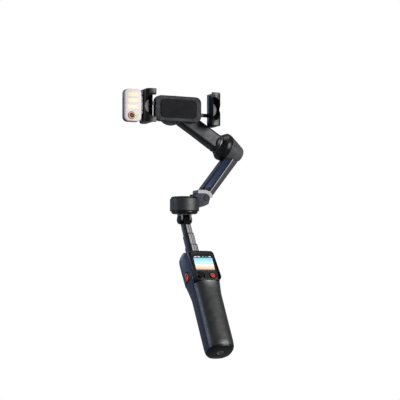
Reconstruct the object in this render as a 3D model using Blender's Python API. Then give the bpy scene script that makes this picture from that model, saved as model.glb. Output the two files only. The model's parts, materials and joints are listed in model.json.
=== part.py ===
"""Handheld phone gimbal: handle with a docked remote, telescopic rod, tilting neck,
pan motor, folding arm, tilt motor, link, roll motor and a two-jaw phone clamp
that carries a clip-on light and tracker.

Metres, +Z up along the pan axis, -Y towards the user, origin at the tripod thread
in the handle's base.  Two empties carry most of the parts: handle_frame, which
leans back with the handle, and head_frame, upright at the centre of the pan motor.
"""
import bmesh
import bpy
from math import cos, pi, radians, sin
from mathutils import Matrix, Vector

MM = 0.001
GAP = 0.3 * MM
SEGMENTS = 32

# --- handle, in its own frame: origin at the base, Z up the grip ---------------
NECK_BEND = radians(31.0)
PIN_HEIGHT = 184.5 * MM
ROD_Y = 7.0 * MM
GRIP_WALL = 1.8 * MM
SEAM_LOW = radians(-16.0)
SEAM_HIGH = radians(196.0)
SEAM_STEP = radians(2.2)
COVER_DIP = 7.5 * MM

# grip and head outline: height, half width, front, back, squareness
GRIP_SECTIONS = (
    (3.0, 15.5, -15.5, 15.5, 2.5),
    (5.5, 16.0, -16.0, 16.0, 2.5),
    (10.0, 16.25, -16.25, 16.25, 2.5),
    (72.0, 16.25, -16.25, 16.25, 2.6),
    (83.0, 16.9, -16.9, 17.2, 3.0),
    (93.7, 17.8, -17.9, 18.3, 3.6),
)
HEAD_SECTIONS = (
    (94.3, 18.0, -16.9, 18.6, 3.8),
    (110.0, 18.0, -15.0, 19.6, 3.8),
    (125.0, 17.8, -12.6, 20.2, 3.8),
    (129.5, 17.4, -11.6, 20.0, 3.6),
    (132.0, 16.2, -10.2, 18.8, 3.4),
    (133.0, 14.6, -8.5, 17.2, 3.2),
)

ROCKER = Vector((-17.4, 1.0, 99.6)) * MM
POWER_BUTTON = Vector((0, 6, 108)) * MM
USB_PORT = Vector((0, 4, 62)) * MM
REMOTE = Vector((0, 0, 106.3)) * MM
SIDE_BUTTON = Vector((0, -11.4, 3.5)) * MM
STICK_X = -8.0 * MM
RECORD_X = 6.8 * MM

# dock tray in the front of the head
DOCK_HALF = 16.1 * MM
DOCK_WALL = 0.9 * MM
DOCK_BOTTOM = 85.3 * MM
DOCK_CEILING = 126.2 * MM
DOCK_FLOOR = -1.9 * MM
DOCK_BACK = -0.3 * MM

# telescopic rod: square tubes, outer width and wall
ROD_WIDTHS = {"outer": 13.6 * MM, "lower": 12.3 * MM, "middle": 11.0 * MM, "upper": 9.7 * MM}
ROD_WALL = 0.4 * MM
ROD_TOPS = {"outer": 130.0 * MM, "lower": 146.4 * MM, "middle": 162.2 * MM, "upper": 175.5 * MM}
ROD_BOTTOMS = {"outer": 42.0 * MM, "lower": 56.0 * MM, "middle": 70.0 * MM, "upper": 84.0 * MM}

# --- head, in head_frame: origin at the pan motor's centre ---------------------
NECK_DROP = 17.0 * MM
TONGUE_HALF = 3.9 * MM
NECK_HALF = 6.9 * MM
MOTOR_R = 17.4 * MM
ARM_Y = 6.0 * MM
HINGE = Vector((26.4, 6.0, 9.4)) * MM
ARM_LEAN = radians(39.1)
LUG_HALF = 9.9 * MM
ELBOW = Vector((60.8, 6.0, 69.6)) * MM
ELBOW_TURN = radians(-67.0)
ARM_WALL = 1.5 * MM
ARM_LEFT = -10.8 * MM
CLAMP = Vector((-13.6, -20.0, 112.9)) * MM
PHONE_WIDTH = 76.7 * MM
JAW_HEIGHT = 39.2 * MM

# the arm's outer cover, along the arm: height, ridge, outer edge, half depth at the ridge and edge
OUTER_COVER = (
    (4.0, -1.2, 6.9, 7.8, 2.6),
    (50.0, -3.4, 6.3, 9.0, 2.6),
    (66.0, -4.2, 6.0, 9.0, 2.8),
    (71.0, -4.4, 5.0, 8.4, 3.0),
)
RIDGE_GAP = 0.4 * MM

NAVY = (0.035, 0.05, 0.11)
BLACK = (0.012, 0.012, 0.014)
GRAPHITE = (0.05, 0.05, 0.055)
SILVER = (0.55, 0.56, 0.58)


def clear_scene():
    """Remove whatever the opened file holds."""
    for item in list(bpy.data.objects):
        bpy.data.objects.remove(item, do_unlink=True)


def material(name, color, roughness, metallic=0.0):
    """One plain material, made once per name."""
    found = bpy.data.materials.get(name)
    if found:
        return found
    made = bpy.data.materials.new(name)
    made.use_nodes = True
    shader = made.node_tree.nodes["Principled BSDF"]
    shader.inputs["Base Color"].default_value = (*color, 1.0)
    shader.inputs["Roughness"].default_value = roughness
    shader.inputs["Metallic"].default_value = metallic
    made.diffuse_color = (*color, 1.0)
    return made


def finishes():
    """The part's materials by short name."""
    return {
        "navy": material("navy_shell", NAVY, 0.35, 0.3),
        "black": material("black_shell", BLACK, 0.4),
        "graphite": material("graphite_metal", GRAPHITE, 0.35, 0.8),
        "silver": material("silver_metal", SILVER, 0.3, 1.0),
        "steel": material("steel", (0.5, 0.5, 0.5), 0.25, 1.0),
        "rubber": material("rubber", (0.02, 0.02, 0.02), 0.8),
        "orange": material("orange_plastic", (0.8, 0.12, 0.03), 0.4),
        "panel": material("frosted_panel", (0.85, 0.78, 0.75), 0.5),
        "glass": material("dark_glass", (0.01, 0.01, 0.012), 0.08),
        "copper": material("copper_coil", (0.6, 0.25, 0.1), 0.4, 1.0),
        "board": material("circuit_board", (0.02, 0.12, 0.05), 0.5),
        "battery": material("battery_wrap", (0.1, 0.15, 0.3), 0.4),
        "brass": material("brass", (0.7, 0.5, 0.2), 0.3, 1.0),
    }


def empty(name, location=(0, 0, 0), rotation=(0, 0, 0), parent=None):
    """A frame for parts to sit in."""
    frame = bpy.data.objects.new(name, None)
    bpy.context.scene.collection.objects.link(frame)
    frame.parent = parent
    frame.location = location
    frame.rotation_euler = rotation
    return frame


def place(name, bm, finish, parent, location=(0, 0, 0), rotation=(0, 0, 0)):
    """Turn a bmesh into a named, smooth-shaded object in its frame."""
    bmesh.ops.recalc_face_normals(bm, faces=bm.faces)
    mesh = bpy.data.meshes.new(name)
    bm.to_mesh(mesh)
    bm.free()
    mesh.shade_smooth()
    mesh.set_sharp_from_angle(angle=radians(35.0))
    if finish:
        mesh.materials.append(finish)
    part = bpy.data.objects.new(name, mesh)
    bpy.context.scene.collection.objects.link(part)
    part.parent = parent
    part.location = location
    part.rotation_euler = rotation
    return part


def cutter(name, bm, parent, location=(0, 0, 0), rotation=(0, 0, 0)):
    """A hidden solid that a Boolean takes away or adds."""
    tool = place(name, bm, None, parent, location, rotation)
    tool.hide_render = True
    tool.display_type = "WIRE"
    return tool


def combine(part, tool, operation="DIFFERENCE"):
    """Boolean a hidden tool with a part."""
    step = part.modifiers.new(tool.name, "BOOLEAN")
    step.operation = operation
    step.solver = "EXACT"
    step.object = tool


def bevel(part, width, segments=2, angle=40.0):
    """Round the edges sharper than an angle."""
    step = part.modifiers.new("edges", "BEVEL")
    step.width = width
    step.segments = segments
    step.limit_method = "ANGLE"
    step.angle_limit = radians(angle)
    return step


# --- outlines and solids -------------------------------------------------------

def superellipse(half_x, y_low, y_high, power, start=0.0, end=2 * pi, steps=SEGMENTS):
    """Points of a squared ellipse from one angle to another."""
    middle = (y_low + y_high) / 2
    half_y = (y_high - y_low) / 2
    points = []
    for index in range(steps):
        share = index / (steps - 1 if end - start < 2 * pi - 0.001 else steps)
        angle = start + (end - start) * share
        across, along = cos(angle), sin(angle)
        x = half_x * abs(across) ** (2 / power) * (1 if across >= 0 else -1)
        y = half_y * abs(along) ** (2 / power) * (1 if along >= 0 else -1)
        points.append((x, middle + y))
    return points


def wall_outline(section, wall, start, end, steps):
    """Open-sided wall of constant thickness along part of a section's outline."""
    _, half_x, front, back, power = section
    outer = superellipse(half_x * MM, front * MM, back * MM, power, start, end, steps)
    inner = superellipse(half_x * MM - wall, front * MM + wall, back * MM - wall,
                         power, start, end, steps)
    return outer + inner[::-1]


def rounded_rect(width, depth, radius, corner_steps=4, center=(0.0, 0.0)):
    """A rectangle's outline with round corners, counter-clockwise."""
    points = []
    for quarter in range(4):
        middle_x = (width / 2 - radius) * (1 if quarter in (0, 3) else -1)
        middle_y = (depth / 2 - radius) * (1 if quarter in (0, 1) else -1)
        for step in range(corner_steps + 1):
            angle = pi / 2 * (quarter + step / corner_steps)
            points.append((center[0] + middle_x + radius * cos(angle),
                           center[1] + middle_y + radius * sin(angle)))
    return points


def circle(radius, steps=SEGMENTS, center=(0.0, 0.0)):
    """A circle's outline."""
    return [(center[0] + radius * cos(2 * pi * i / steps),
             center[1] + radius * sin(2 * pi * i / steps)) for i in range(steps)]


def loft(sections):
    """A solid through rings of points with the same count, closed at both ends."""
    bm = bmesh.new()
    rings = [[bm.verts.new(point) for point in ring] for ring in sections]
    count = len(rings[0])
    for low, high in zip(rings, rings[1:]):
        for index in range(count):
            following = (index + 1) % count
            bm.faces.new((low[index], low[following], high[following], high[index]))
    bm.faces.new(rings[0][::-1])
    bm.faces.new(rings[-1])
    return bm


def prism(outline, low, high, axis="Z"):
    """An outline extruded along an axis between two heights."""
    def lift(point, height):
        first, second = point
        if axis == "Z":
            return (first, second, height)
        if axis == "Y":
            return (first, height, second)
        return (height, first, second)
    return loft([[lift(p, low) for p in outline], [lift(p, high) for p in outline]])


def block(size, center=(0, 0, 0)):
    """A box."""
    bm = bmesh.new()
    bmesh.ops.create_cube(bm, size=1.0)
    bmesh.ops.transform(bm, matrix=Matrix.Translation(center) @ Matrix.Diagonal((*size, 1.0)),
                        verts=bm.verts)
    return bm


def turned(profile, steps=SEGMENTS, axis="Z"):
    """A lathe solid from (radius, height) points; radius 0 closes it on the axis."""
    bm = bmesh.new()
    rings = []
    for radius, height in profile:
        if radius == 0:
            rings.append([bm.verts.new((0, 0, height))])
            continue
        rings.append([bm.verts.new((radius * cos(2 * pi * i / steps),
                                    radius * sin(2 * pi * i / steps), height))
                      for i in range(steps)])
    closed = profile[0][0] > 0
    pairs = list(zip(rings, rings[1:])) + ([(rings[-1], rings[0])] if closed else [])
    for low, high in pairs:
        for i in range(steps):
            j = (i + 1) % steps
            corners = [low[i % len(low)], low[j % len(low)], high[j % len(high)], high[i % len(high)]]
            corners = [v for k, v in enumerate(corners) if v not in corners[:k]]
            if len(corners) > 2:
                bm.faces.new(corners)
    if axis == "Y":
        bmesh.ops.rotate(bm, matrix=Matrix.Rotation(-pi / 2, 3, "X"), verts=bm.verts)
    if axis == "X":
        bmesh.ops.rotate(bm, matrix=Matrix.Rotation(pi / 2, 3, "Y"), verts=bm.verts)
    return bm


def tube_profile(outer, inner, low, high, chamfer=0.0):
    """Closed profile of a ring, with its outer edges chamfered."""
    return [(inner, low), (outer - chamfer, low), (outer, low + chamfer),
            (outer, high - chamfer), (outer - chamfer, high), (inner, high)]


def square_tube(width, wall, low, high, corner):
    """An open-ended square tube, or a solid bar when the wall is None."""
    outer = rounded_rect(width, width, corner, 3)
    if wall is None:
        return prism(outer, low, high)
    inner = rounded_rect(width - 2 * wall, width - 2 * wall, max(corner - wall, 0.2 * MM), 3)
    bm = bmesh.new()
    rings = [[bm.verts.new((x, y, z)) for x, y in outline]
             for outline, z in ((outer, low), (outer, high), (inner, high), (inner, low))]
    count = len(outer)
    for ring, following_ring in zip(rings, rings[1:] + rings[:1]):
        for i in range(count):
            j = (i + 1) % count
            bm.faces.new((ring[i], ring[j], following_ring[j], following_ring[i]))
    return bm


# --- handle --------------------------------------------------------------------

def dock_space(name, frame):
    """Room in the shells for the dock tray."""
    size = (2 * (DOCK_HALF + GAP), 40 * MM, 60 * MM)
    center = (0, DOCK_BACK + GAP - 20 * MM, DOCK_BOTTOM - GAP + 30 * MM)
    return cutter(name, block(size, center), frame)


def make_grip(frame, look):
    """Navy rear shell, black front cover with its dipped top edge, and the base."""
    rear = [[(x, y, section[0] * MM) for x, y in
             wall_outline(section, GRIP_WALL, SEAM_LOW, SEAM_HIGH, 25)]
            for section in GRIP_SECTIONS]
    shell = place("grip_rear_shell", loft(rear), look["navy"], frame)
    combine(shell, dock_space("dock_space_rear", frame))
    port_room = block((8 * MM, 4.4 * MM, 10.4 * MM), (16 * MM, 4 * MM, 62 * MM))
    combine(shell, cutter("usb_room", port_room, frame))

    front = []
    for section in GRIP_SECTIONS:
        outline = wall_outline(section, GRIP_WALL, SEAM_HIGH + SEAM_STEP,
                               2 * pi + SEAM_LOW - SEAM_STEP, 21)
        top = section is GRIP_SECTIONS[-1]
        ring = []
        for x, y in outline:
            dip = COVER_DIP * max(0.0, 1 - (x / (15 * MM)) ** 2) if top else 0.0
            ring.append((x, y, section[0] * MM - dip))
        front.append(ring)
    cover = place("grip_front_cover", loft(front), look["black"], frame)
    combine(cover, dock_space("dock_space_front", frame))

    cap_rings = []
    for height, inset in ((0.0, 2.6), (0.5, 1.6), (1.4, 0.8), (2.7, 0.3)):
        size = GRIP_SECTIONS[0][1] - inset
        cap_rings.append([(x, y, height * MM) for x, y in
                          superellipse(size * MM, -size * MM, size * MM, 2.5)])
    for height, inset in ((2.7, 2.4), (7.0, 2.6)):
        size = GRIP_SECTIONS[0][1] - inset
        cap_rings.append([(x, y, height * MM) for x, y in
                          superellipse(size * MM, -size * MM, size * MM, 2.5)])
    cap = place("base_cap", loft(cap_rings), look["navy"], frame)
    combine(cap, cutter("thread_room", turned([(0, -2 * MM), (4.6 * MM, -2 * MM),
                                               (4.6 * MM, 9 * MM), (0, 9 * MM)]), frame))
    insert = tube_profile(4.3 * MM, 3.175 * MM, 0.0, 10.0 * MM, 0.3 * MM)
    place("thread_insert", turned(insert, 24), look["silver"], frame)


def make_head(frame, look):
    """Navy head shell, the black dock tray inside it and the tray's light window."""
    solid = [[(x, y, s[0] * MM) for x, y in
              superellipse(s[1] * MM, s[2] * MM, s[3] * MM, s[4], steps=40)]
             for s in HEAD_SECTIONS]
    head = place("head_shell", loft(solid), look["navy"], frame)
    wall = 1.6
    inner = [(93.0, HEAD_SECTIONS[0]), (110.0, HEAD_SECTIONS[1]),
             (125.0, HEAD_SECTIONS[2]), (130.0, HEAD_SECTIONS[3])]
    hollow = [[(x, y, height * MM) for x, y in
               superellipse((s[1] - wall) * MM, (s[2] + wall) * MM, (s[3] - wall) * MM, s[4], steps=40)]
              for height, s in inner]
    combine(head, cutter("head_hollow", loft(hollow), frame))
    combine(head, dock_space("dock_space_head", frame))
    hole = prism(rounded_rect(16.6 * MM, 16.6 * MM, 2.4 * MM, 3, (0, ROD_Y)), 125 * MM, 140 * MM)
    combine(head, cutter("rod_hole", hole, frame))
    window = prism(rounded_rect(11.6 * MM, 12.8 * MM, 4.6 * MM, 5), -4 * MM, 4 * MM, "X")
    combine(head, cutter("rocker_window", window, frame, ROCKER))
    button_room = turned([(0, 12 * MM), (3.5 * MM, 12 * MM), (3.5 * MM, 24 * MM), (0, 24 * MM)], 20, "X")
    combine(head, cutter("button_window", button_room, frame, POWER_BUTTON))

    profile = ((DOCK_BACK, DOCK_BOTTOM), (-17.1 * MM, DOCK_BOTTOM), (-17.3 * MM, 88 * MM),
               (-16.6 * MM, 95 * MM), (-12.3 * MM, 126 * MM), (-11.6 * MM, 128.2 * MM),
               (-9.6 * MM, 129.9 * MM), (DOCK_BACK, 129.9 * MM))
    tray = place("dock_frame", prism(profile, -DOCK_HALF, DOCK_HALF, "X"), look["black"], frame)
    mouth = rounded_rect(2 * (DOCK_HALF - DOCK_WALL), DOCK_CEILING - DOCK_BOTTOM - DOCK_WALL,
                         5.0 * MM, 4, (0, (DOCK_CEILING + DOCK_BOTTOM + DOCK_WALL) / 2))
    combine(tray, cutter("dock_mouth", prism(mouth, -40 * MM, DOCK_FLOOR, "Y"), frame))
    rim = rounded_rect(2 * DOCK_HALF + 0.02 * MM, 45.0 * MM, 5.8 * MM, 5, (0, 107.6 * MM))
    combine(tray, cutter("dock_outline", prism(rim, -40 * MM, 10 * MM, "Y"), frame), "INTERSECT")
    slot = block((20.6 * MM, 4 * MM, 8.6 * MM), (0, DOCK_FLOOR, 111 * MM))
    slot_cut = cutter("window_room", slot, frame, (0, 1.2 * MM, 0))
    combine(tray, slot_cut)
    strip = prism(rounded_rect(20.0 * MM, 8.0 * MM, 1.2 * MM, 2, (0, 111 * MM)), -2.05 * MM, -0.7 * MM, "Y")
    place("dock_window", strip, look["glass"], frame)


def make_controls(frame, look):
    """Rocker on the left of the head, power button and USB socket on the right."""
    top = prism(rounded_rect(8.4 * MM, 9.6 * MM, 3.6 * MM, 5), -1.5 * MM, 0.8 * MM, "X")
    rocker = place("zoom_rocker", top, look["orange"], frame, ROCKER)
    scoop = turned([(0, -8 * MM), (7 * MM, -8 * MM), (7 * MM, 8 * MM), (0, 8 * MM)], 24, "Y")
    combine(rocker, cutter("rocker_scoop", scoop, frame, ROCKER - Vector((7.7 * MM, 0, 0))))
    bevel(rocker, 0.4 * MM, 2, 50)

    knob = [(0, 13.5 * MM), (3.1 * MM, 13.5 * MM), (3.1 * MM, 18.1 * MM), (2.7 * MM, 18.5 * MM),
            (0, 18.5 * MM)]
    place("power_button", turned(knob, 20, "X"), look["graphite"], frame, POWER_BUTTON)
    socket = prism(rounded_rect(3.2 * MM, 9.0 * MM, 1.5 * MM, 3), 11 * MM, 16.0 * MM, "X")
    usb = place("usb_port", socket, look["steel"], frame, USB_PORT)
    opening = prism(rounded_rect(2.4 * MM, 8.2 * MM, 1.1 * MM, 3), 12 * MM, 17 * MM, "X")
    combine(usb, cutter("usb_opening", opening, frame, USB_PORT))


def make_insides(frame, look):
    """Battery pack and main board in front of the rod's outer tube."""
    pack = block((16.6 * MM, 9.8 * MM, 62 * MM), (0, -7.3 * MM, 46 * MM))
    battery = place("battery_pack", pack, look["battery"], frame)
    bevel(battery, 2.0 * MM, 2)
    place("main_board", block((24 * MM, 1.2 * MM, 40 * MM), (0, -1.4 * MM, 60 * MM)), look["board"], frame)


def make_rod(frame, look):
    """Three square stages in a fixed tube, and the tongue on top of them."""
    axis = empty("rod_axis", (0, ROD_Y, 0), parent=frame)
    place("rod_outer_tube", square_tube(ROD_WIDTHS["outer"], ROD_WALL, ROD_BOTTOMS["outer"],
                                        ROD_TOPS["outer"], 2.2 * MM), look["steel"], axis)
    collar_low, collar_high = ROD_TOPS["outer"] + GAP, 135.2 * MM
    place("rod_collar", square_tube(16.0 * MM, 1.5 * MM, collar_low, collar_high, 2.4 * MM),
          look["black"], axis)
    for stage in ("lower", "middle", "upper"):
        width = ROD_WIDTHS[stage]
        wall = None if stage == "upper" else ROD_WALL
        tube = square_tube(width, wall, ROD_BOTTOMS[stage], ROD_TOPS[stage], 1.7 * MM)
        place(f"rod_stage_{stage}", tube, look["graphite"], axis)
    tongue = [(-5.0, 175.8), (5.0, 175.8)]
    tongue += [(5.0 * cos(a * pi / 10), 184.5 + 5.0 * sin(a * pi / 10)) for a in range(11)]
    outline = [(y * MM, z * MM) for y, z in tongue]
    knuckle = place("neck_knuckle", prism(outline, -TONGUE_HALF, TONGUE_HALF, "X"), look["black"], axis)
    bore = turned([(0, -8 * MM), (2.3 * MM, -8 * MM), (2.3 * MM, 8 * MM), (0, 8 * MM)], 20, "X")
    combine(knuckle, cutter("knuckle_bore", bore, axis, (0, 0, PIN_HEIGHT)))


# --- head ----------------------------------------------------------------------

def make_neck(frame, look):
    """Clevis under the pan motor, its pin, and the motor's fixed half."""
    ear_z = -NECK_DROP
    side = [(-5.6, -10.3), (-5.6, ear_z / MM), (5.6, ear_z / MM), (5.6, -10.3)]
    arc = [(5.6 * cos(pi + a * pi / 10), ear_z / MM + 5.6 * sin(pi + a * pi / 10)) for a in range(1, 10)]
    outline = [(y * MM, z * MM) for y, z in side[:2] + arc + side[2:]]
    bracket = place("neck_bracket", prism(outline, -NECK_HALF, NECK_HALF, "X"), look["black"], frame)
    slot = block((2 * TONGUE_HALF + 0.7 * MM, 20 * MM, 12.4 * MM), (0, 0, ear_z - 0.4 * MM))
    combine(bracket, cutter("neck_slot", slot, frame))
    bore = turned([(0, -12 * MM), (2.3 * MM, -12 * MM), (2.3 * MM, 12 * MM), (0, 12 * MM)], 20, "X")
    combine(bracket, cutter("neck_bore", bore, frame, (0, 0, ear_z)))
    pin = [(0, -8.2 * MM), (4.3 * MM, -8.2 * MM), (4.6 * MM, -7.9 * MM), (4.6 * MM, -7.2 * MM),
           (2.0 * MM, -7.2 * MM), (2.0 * MM, 7.2 * MM), (4.6 * MM, 7.2 * MM), (4.6 * MM, 7.9 * MM),
           (4.3 * MM, 8.2 * MM), (0, 8.2 * MM)]
    place("neck_pin", turned(pin, 20, "X"), look["silver"], frame, (0, 0, ear_z))

    base = [(0, -10.0 * MM), (14.4 * MM, -10.0 * MM), (15.6 * MM, -8.8 * MM), (15.6 * MM, -7.2 * MM),
            (4.4 * MM, -7.2 * MM), (4.4 * MM, 2.5 * MM), (0, 2.5 * MM)]
    place("pan_base", turned(base), look["black"], frame)
    place("pan_stator", turned(tube_profile(12.2 * MM, 4.7 * MM, -6.0 * MM, 2.0 * MM, 0.8 * MM), 24),
          look["copper"], frame)


def make_pan_head(frame, look):
    """Turning half of the pan motor, with the lug for the arm's hinge."""
    cup = [(17.0 * MM, -6.9 * MM), (MOTOR_R, -6.5 * MM), (MOTOR_R, 7.4 * MM), (16.6 * MM, 8.2 * MM),
           (3.0 * MM, 8.2 * MM), (3.0 * MM, 6.0 * MM), (15.6 * MM, 6.0 * MM), (15.6 * MM, -6.9 * MM)]
    housing = place("pan_housing", turned(cup, 40), look["black"], frame)
    lug_outline = [(13.5, 5.5), (13.5, 14.0), (14.6, 14.6), (22.0, 14.6)]
    round_end = [pi / 2 - k * pi / 12 for k in range(9)]
    lug_outline += [(26.4 + 5.2 * cos(a), 9.4 + 5.2 * sin(a)) for a in round_end]
    lug_outline += [(29.8, 2.6), (25.4, 0.2), (16.5, -2.6), (16.5, 5.5)]
    lug = prism([(x * MM, z * MM) for x, z in lug_outline[::-1]], ARM_Y - LUG_HALF, ARM_Y + LUG_HALF, "Y")
    hinge = place("hinge_lug", lug, look["graphite"], frame)
    keep_clear = turned([(0, -20 * MM), (MOTOR_R + GAP, -20 * MM), (MOTOR_R + GAP, 7.7 * MM),
                         (16.9 * MM, 8.5 * MM), (0, 8.5 * MM)], 40)
    combine(hinge, cutter("lug_clearance", keep_clear, frame))
    bore = turned([(0, -20 * MM), (2.3 * MM, -20 * MM), (2.3 * MM, 20 * MM), (0, 20 * MM)], 20, "Y")
    combine(hinge, cutter("hinge_bore", bore, frame, HINGE))
    fork = turned([(0, -3.4 * MM), (7.2 * MM, -3.4 * MM), (7.2 * MM, 3.4 * MM), (0, 3.4 * MM)], 32, "Y")
    combine(hinge, cutter("lug_fork", fork, frame, HINGE))
    sweep = [radians(-4 - 100 * k / 10) for k in range(11)]
    swept = [(5.3 * cos(a), 5.3 * sin(a)) for a in sweep[::-1]] + [(30 * cos(a), 30 * sin(a)) for a in sweep]
    swing = prism([(x * MM, z * MM) for x, z in swept], -8.5 * MM, 8.5 * MM, "Y")
    combine(hinge, cutter("strap_swing", swing, frame, HINGE))
    cap = [(0, 8.5 * MM), (16.0 * MM, 8.5 * MM), (16.0 * MM, 9.4 * MM), (15.4 * MM, 10.0 * MM),
           (0, 10.0 * MM)]
    lid = place("pan_cap", turned(cap, 40), look["black"], frame)
    lug_room = block((10 * MM, 2 * LUG_HALF + 0.8 * MM, 6 * MM), (18 * MM, ARM_Y, 10 * MM))
    combine(lid, cutter("lug_room", lug_room, frame))
    magnets = tube_profile(15.3 * MM, 12.9 * MM, -6.0 * MM, 4.5 * MM)
    place("pan_magnets", turned(magnets, 32), look["steel"], frame)


def inner_section(wall, x_low, ridge, half_front, half_edge):
    """Channel open towards +X: the navy half of the arm's six-sided section."""
    outer = [(ridge, -half_front), (x_low + 1.2 * MM, -half_edge - 1.0 * MM), (x_low, -half_edge),
             (x_low, half_edge), (x_low + 1.2 * MM, half_edge + 1.0 * MM), (ridge, half_front)]
    inner = [(ridge, half_front - wall), (x_low + wall + 0.4 * MM, half_edge + 1.0 * MM - wall),
             (x_low + wall, half_edge - wall / 2), (x_low + wall, -half_edge + wall / 2),
             (x_low + wall + 0.4 * MM, -half_edge - 1.0 * MM + wall), (ridge, -half_front + wall)]
    return outer + inner


def outer_section(x_high, ridge, half_front, half_edge):
    """Solid wedge on the arm's outer side, from the ridge to its narrow edge."""
    return [(ridge, half_front), (x_high - 0.8 * MM, half_edge + 0.8 * MM), (x_high, half_edge),
            (x_high, -half_edge), (x_high - 0.8 * MM, -half_edge - 0.8 * MM), (ridge, -half_front)][::-1]


def make_arm(frame, look):
    """Silver hinge band, spine, navy inner cover and grey outer cover."""
    hinge = empty("hinge_frame", HINGE, parent=frame)
    arm = empty("arm_frame", (0, 0, 0), (0, ARM_LEAN, 0), hinge)

    inner_r, outer_r = 5.6, 9.8
    start, stop, steps = radians(8), pi / 2, 10
    angles = [start + (stop - start) * k / steps for k in range(steps + 1)]
    strap = [(outer_r * cos(a), outer_r * sin(a)) for a in angles]
    strap += [(-8.8, outer_r), (-9.6, outer_r - 0.8), (-9.6, inner_r + 0.6), (-9.0, inner_r)]
    strap += [(inner_r * cos(a), inner_r * sin(a)) for a in angles[::-1]]
    band = place("hinge_band", prism([(x * MM, z * MM) for x, z in strap], -8.2 * MM, 8.2 * MM, "Y"),
                 look["silver"], hinge)
    knuckle = prism(circle(5.0 * MM, 24), -3.1 * MM, 3.1 * MM, "Y")
    web_outline = [(0, 0), (6.6 * MM, -1.6 * MM), (7.4 * MM, 1.0 * MM), (5.2 * MM, 5.2 * MM), (1.0 * MM, 7.4 * MM),
                   (-1.6 * MM, 6.6 * MM)]
    web = prism(web_outline, -3.1 * MM, 3.1 * MM, "Y")
    combine(band, cutter("hinge_knuckle", knuckle, hinge), "UNION")
    combine(band, cutter("hinge_web", web, hinge), "UNION")
    pin = [(0, -10.8), (3.0, -10.8), (3.3, -10.5), (3.3, -10.2), (2.0, -10.2), (2.0, 10.2), (3.3, 10.2),
           (3.3, 10.5), (3.0, 10.8), (0, 10.8)]
    bore = [(0, -12 * MM), (2.3 * MM, -12 * MM), (2.3 * MM, 12 * MM), (0, 12 * MM)]
    combine(band, cutter("band_bore", turned(bore, 20, "Y"), hinge))
    place("hinge_pin", turned([(r * MM, y * MM) for r, y in pin], 20, "Y"), look["steel"], hinge)

    room = turned([(0, -18.3 * MM), (6.2 * MM, -18.3 * MM), (9.2 * MM, -16.2 * MM), (10.4 * MM, -13.2 * MM),
                   (13.2 * MM, -5.6 * MM), (16.5 * MM, 3.4 * MM), (17.5 * MM, 6.2 * MM), (17.5 * MM, 30 * MM),
                   (0, 30 * MM)], 40)
    elbow_room = cutter("elbow_room", room, frame, ELBOW, (0, ELBOW_TURN, 0))
    hinge_room = turned([(0, -12 * MM), (10.2 * MM, -12 * MM), (10.2 * MM, 12 * MM), (0, 12 * MM)], 32, "Y")
    hinge_space = cutter("hinge_space", hinge_room, hinge)

    rings = []
    for height, ridge, spread in ((4.0, -1.2, 0.9), (60.0, -3.9, 1.0)):
        outline = inner_section(ARM_WALL, ARM_LEFT * spread, ridge * MM - RIDGE_GAP, 9.0 * MM * spread,
                                5.6 * MM)
        rings.append([(x, y, height * MM) for x, y in outline])
    inner_cover = place("arm_inner_cover", loft(rings), look["navy"], arm)
    solid, hollow = [], []
    for height, ridge, x_high, half_front, half_edge in OUTER_COVER:
        outline = outer_section(x_high * MM, ridge * MM, half_front * MM, half_edge * MM)
        solid.append([(x, y, height * MM) for x, y in outline])
    for height, ridge, x_high, half_front, half_edge in OUTER_COVER[:2]:
        outline = outer_section(x_high * MM - ARM_WALL, (ridge - 1) * MM, (half_front - 1.0) * MM,
                                (half_edge - 0.4) * MM)
        hollow.append([(x, y, height * MM - (4 * MM if height < 10 else 0)) for x, y in outline])
    outer_cover = place("arm_outer_cover", loft(solid), look["graphite"], arm)
    combine(outer_cover, cutter("outer_cover_hollow", loft(hollow), arm))
    for shell, floor_height in ((inner_cover, 10.1 * MM), (outer_cover, -20 * MM)):
        combine(shell, elbow_room)
        combine(shell, hinge_space)
        below = block((80 * MM, 40 * MM, 40 * MM), (0, 0, floor_height - 20 * MM))
        combine(shell, cutter(f"{shell.name}_foot", below, hinge))
    bar = block((7.0 * MM, 8 * MM, 38 * MM), (-2.6 * MM, 0, 29.0 * MM))
    spine = place("arm_core", bar, look["silver"], arm)
    combine(spine, elbow_room)
    combine(spine, hinge_space)


def make_elbow(frame, look):
    """Tilt motor: housing, stator and cap on the arm; flange and magnets on the link."""
    elbow = empty("elbow_frame", ELBOW, (0, ELBOW_TURN, 0), frame)
    shell = [(11.6, 15.4), (12.6, 15.4), (16.5, 10.9), (17.0, 9.8), (17.0, 6.2), (16.1, 3.4), (4.4, 3.4),
             (4.4, 5.0), (14.9, 5.0), (15.3, 6.4), (15.3, 9.6), (11.6, 13.9)]
    place("elbow_housing", turned([(r * MM, z * MM) for r, z in shell[::-1]], 48), look["black"], elbow)
    dome = [(0, -17.9), (4.6, -17.9), (7.0, -17.0), (8.8, -15.4), (9.9, -13.0), (12.8, -5.6), (15.9, 3.1),
            (4.1, 3.1), (4.1, 8.0), (0, 8.0)]
    place("elbow_cap", turned([(r * MM, z * MM) for r, z in dome[::-1]], 48), look["graphite"], elbow)
    place("elbow_stator", turned(tube_profile(11.2 * MM, 4.7 * MM, 5.6 * MM, 10.6 * MM, 0.8 * MM), 24),
          look["copper"], elbow)
    place("elbow_magnets", turned(tube_profile(13.9 * MM, 11.7 * MM, 5.6 * MM, 10.4 * MM), 32),
          look["steel"], elbow)
    flange = [(0, 12.2), (10.7, 12.2), (11.2, 12.7), (11.2, 17.0), (10.9, 17.3), (0, 17.3)]
    place("elbow_flange", turned([(r * MM, z * MM) for r, z in flange], 48), look["silver"], elbow)


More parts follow.
